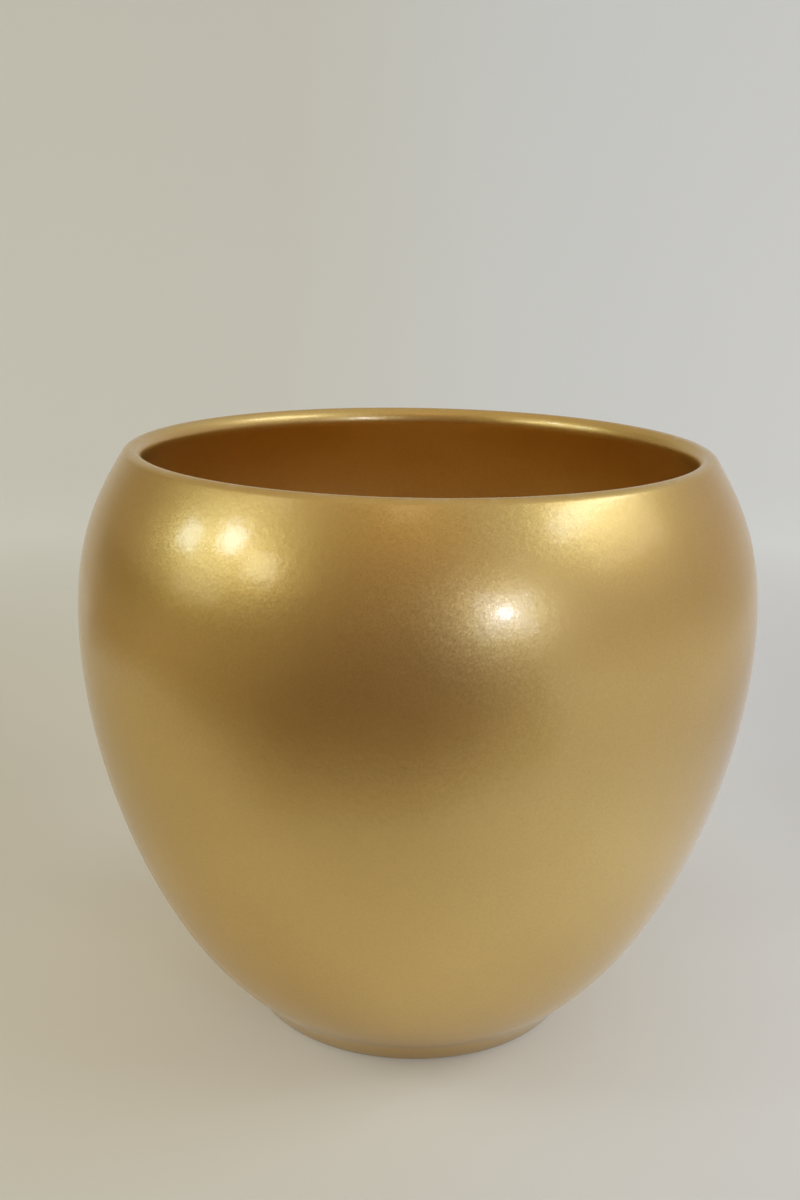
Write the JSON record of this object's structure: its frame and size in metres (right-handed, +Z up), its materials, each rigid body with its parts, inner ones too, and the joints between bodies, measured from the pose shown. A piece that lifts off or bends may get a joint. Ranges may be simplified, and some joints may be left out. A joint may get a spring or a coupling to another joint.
{
  "type": "bowl planter",
  "caption": "Round ceramic bowl planter, satin gold inside and out, with a swelling belly, inturned shoulder, rounded lip, low foot and a drain plug that lifts out.",
  "frame": {"origin": "on the pot's axis, on the plane of the pads' undersides, which is the surface that it stands on", "axes": "+Z up along the pot's axis of symmetry; -Y is the side that the picture shows"},
  "size_m": [0.2546, 0.2546, 0.2206],
  "materials": {
    "gold_lacquer": "satin metallic gold lacquer with fine flake over cast ceramic, inside and out",
    "plug_silicone": "matte moulded dark grey silicone",
    "pad_rubber": "matte die-cut anti-slip rubber"
  },
  "bodies": {
    "pot": {"pot_body": "gold_lacquer", "foot_pad_1": "pad_rubber", "foot_pad_2": "pad_rubber", "foot_pad_3": "pad_rubber", "foot_pad_4": "pad_rubber"},
    "plug": {"drain_plug": "plug_silicone"}
  },
  "joints": [
    {"name": "drain_plug_lift", "type": "slide", "parent": "pot", "child": "plug", "axis": [0, 0, 1], "range_m": [0, 0.23]}
  ]
}
